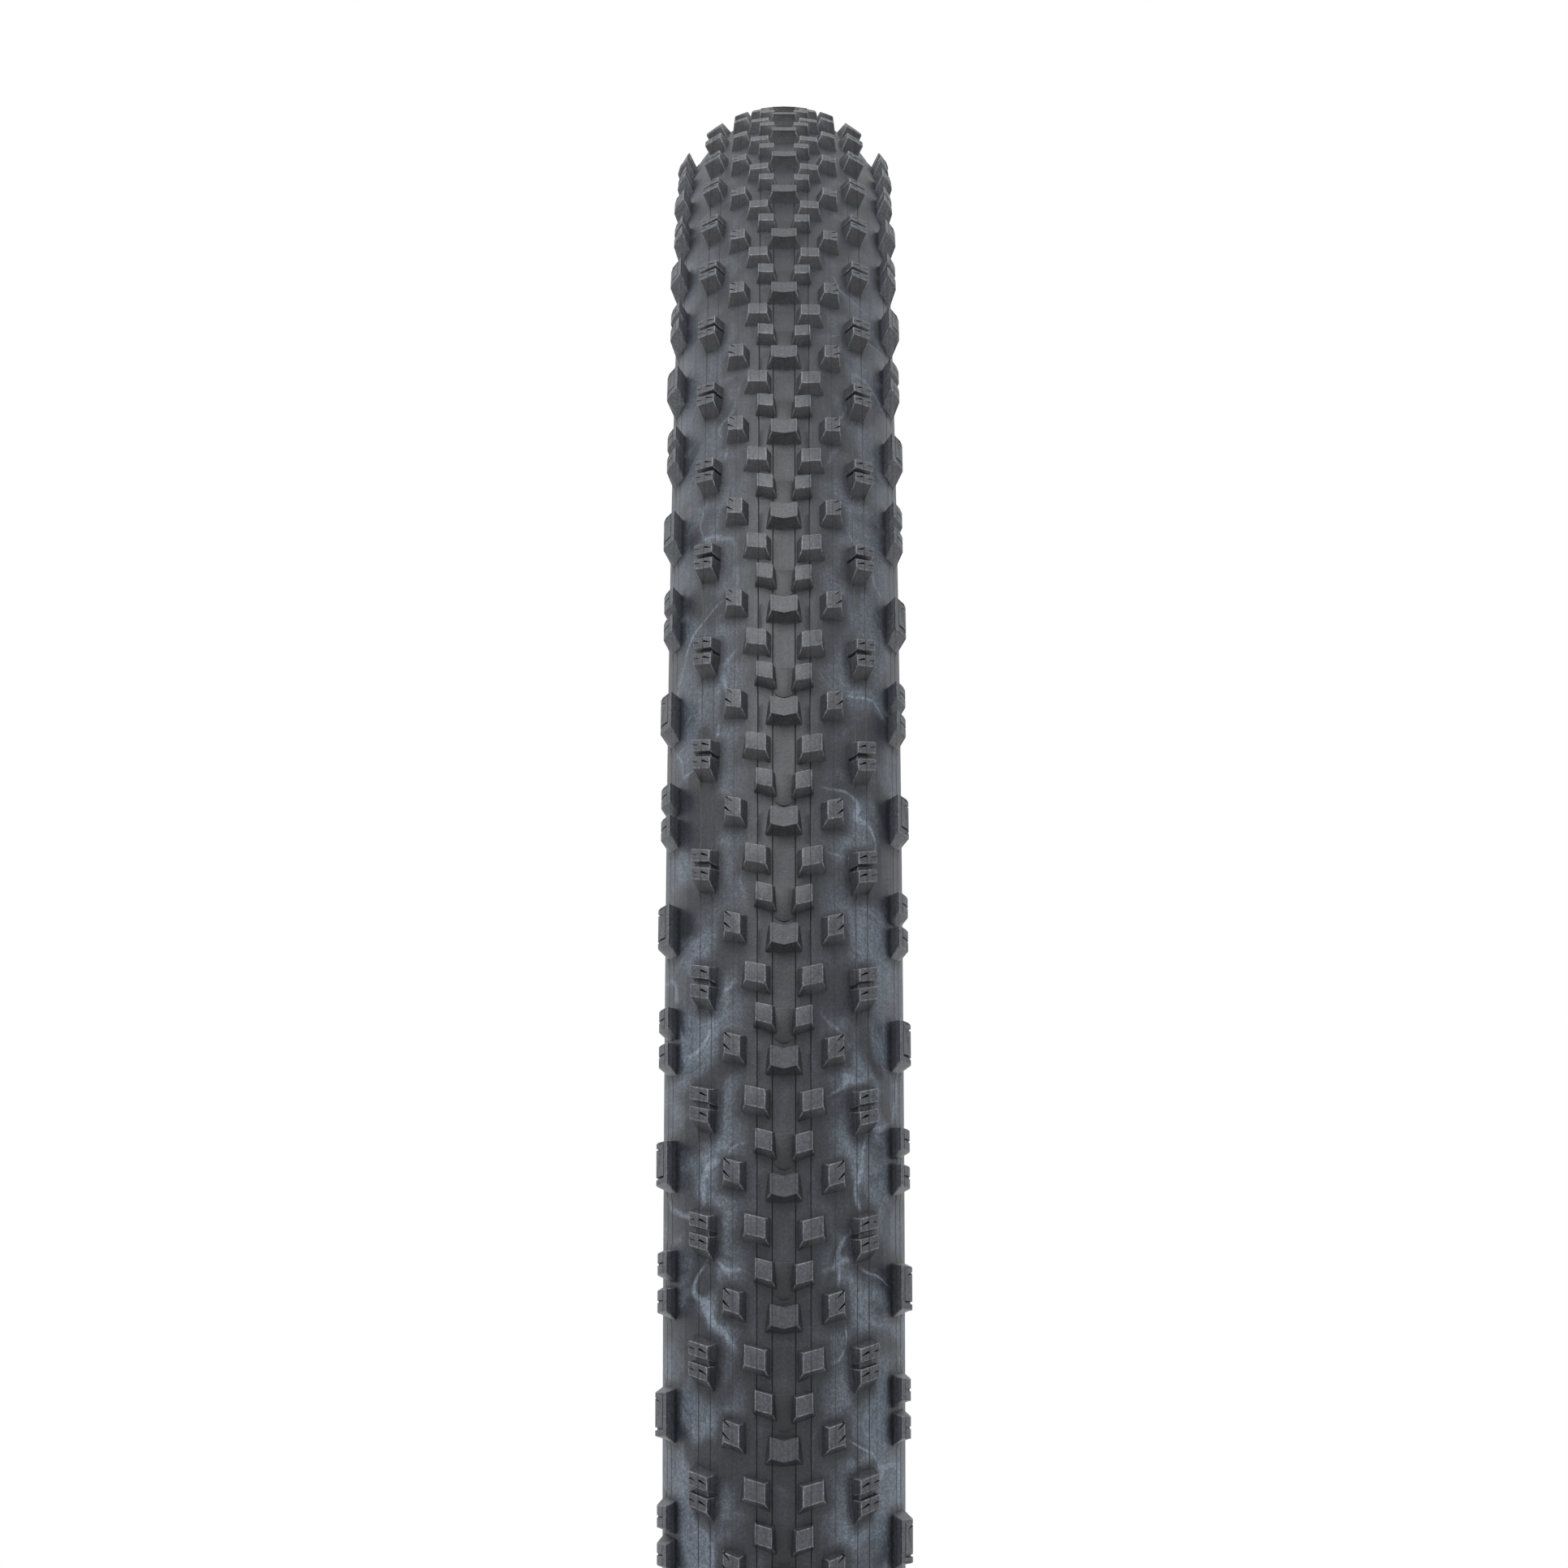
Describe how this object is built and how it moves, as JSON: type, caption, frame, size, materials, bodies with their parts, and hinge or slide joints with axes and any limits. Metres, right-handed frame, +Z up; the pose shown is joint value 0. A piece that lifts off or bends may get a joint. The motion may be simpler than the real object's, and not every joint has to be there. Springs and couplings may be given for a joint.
{
  "type": "bicycle tire",
  "caption": "Wide folding bicycle tyre with a ramped block tread, open towards the rim between two beads.",
  "frame": {"origin": "wheel centre, on the axis and midway between the beads", "axes": "+Y along the wheel's axis, +Z up, +X towards the side where the tread is seen face on; the tyre stands upright on its tread"},
  "size_m": [0.7316, 0.0566, 0.7316],
  "materials": {
    "tread_rubber": "moulded, matte with a blue-grey bloom",
    "shoulder_rubber": "moulded, satin",
    "sidewall_rubber": "moulded, satin, fine rings",
    "base_rubber": "calendered, matte",
    "nylon_ply": "rubbered nylon cords",
    "belt_fabric": "woven breaker",
    "chafer_cloth": "rubbered square weave",
    "liner_butyl": "smooth butyl",
    "aramid_cord": "bundled yarn"
  },
  "bodies": {
    "root": {"centre_tread": "tread_rubber", "transition_tread_left": "tread_rubber", "transition_tread_right": "tread_rubber", "shoulder_tread_left": "shoulder_rubber", "shoulder_tread_right": "shoulder_rubber", "sidewall_left": "sidewall_rubber", "sidewall_right": "sidewall_rubber", "chafer_left": "chafer_cloth", "chafer_right": "chafer_cloth", "tread_base": "base_rubber", "puncture_belt": "belt_fabric", "casing_ply": "nylon_ply", "inner_liner": "liner_butyl", "bead_core_left": "aramid_cord", "bead_core_right": "aramid_cord"}
  },
  "joints": []
}
